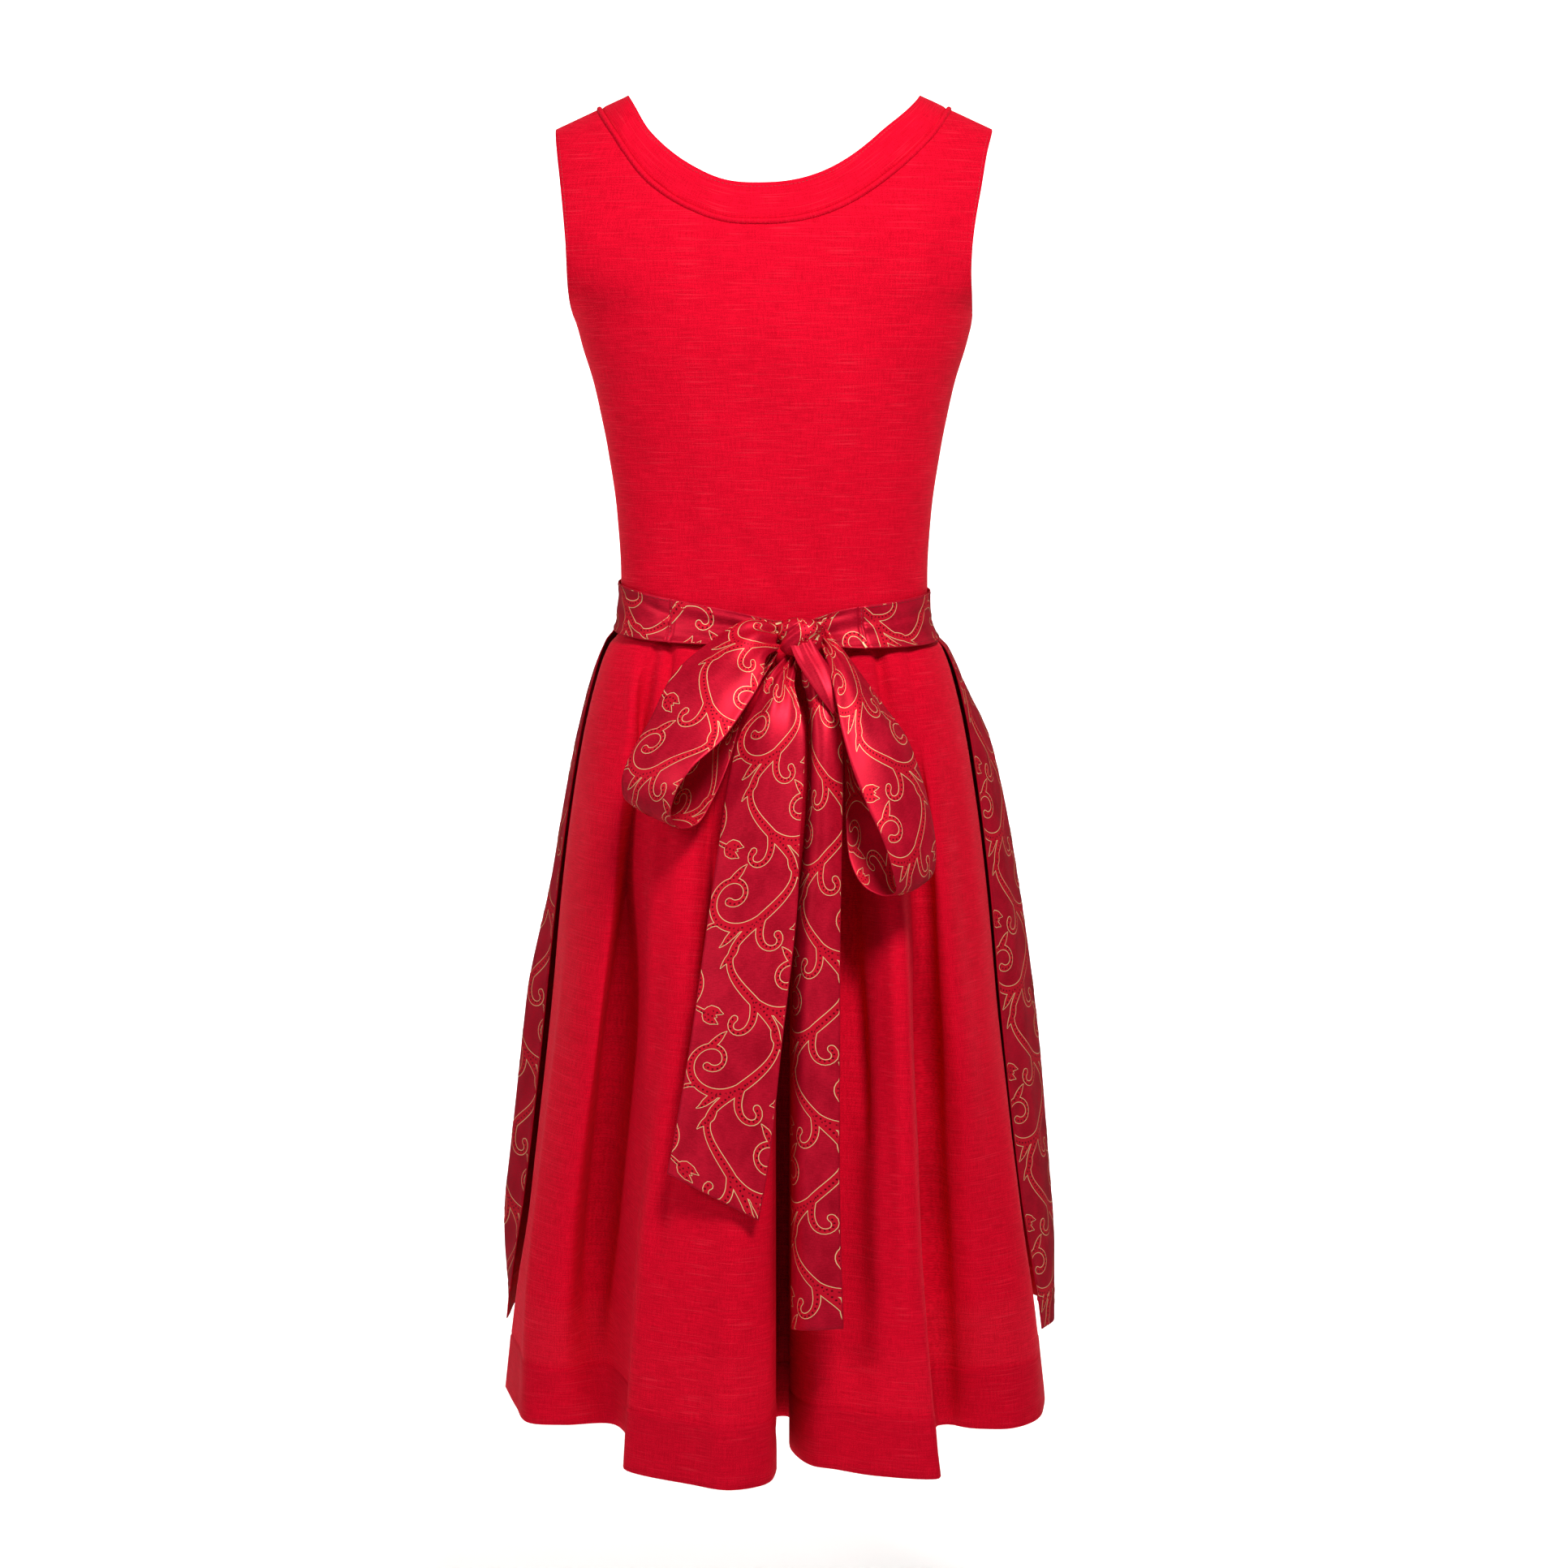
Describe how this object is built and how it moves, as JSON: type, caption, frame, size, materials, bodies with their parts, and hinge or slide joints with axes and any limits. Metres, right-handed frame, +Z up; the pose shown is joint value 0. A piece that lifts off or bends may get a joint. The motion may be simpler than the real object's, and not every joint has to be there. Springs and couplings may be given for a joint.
{
  "type": "dirndl",
  "caption": "Sleeveless folk dress in worn shape, with a banded round neck, pleated skirt and a gathered apron whose ties make a bow at the back waist.",
  "frame": {"origin": "midway between the shoulder seams, at the height where they meet the neckline", "axes": "+Z up along the body; +Y the way the wearer faces, so the back with the bow faces -Y; +X to the wearer's right"},
  "size_m": [0.4744, 0.4997, 1.0805],
  "materials": {
    "linen": "red slub linen, matt",
    "satin": "deep red satin with a scroll ornament in pale gold outline"
  },
  "bodies": {
    "root": {"bodice_back": "linen", "bodice_front_left": "linen", "bodice_front_right": "linen", "neckband_back": "linen", "neckband_front_left": "linen", "neckband_front_right": "linen", "neck_piping_back": "linen", "neck_piping_front_left": "linen", "neck_piping_front_right": "linen", "skirt_back": "linen", "skirt_front": "linen", "apron": "satin", "apron_waistband": "satin", "tie_left": "satin", "tie_right": "satin", "bow_knot": "satin", "bow_loop_left": "satin", "bow_loop_right": "satin", "bow_tail_left": "satin", "bow_tail_right": "satin"}
  },
  "joints": []
}
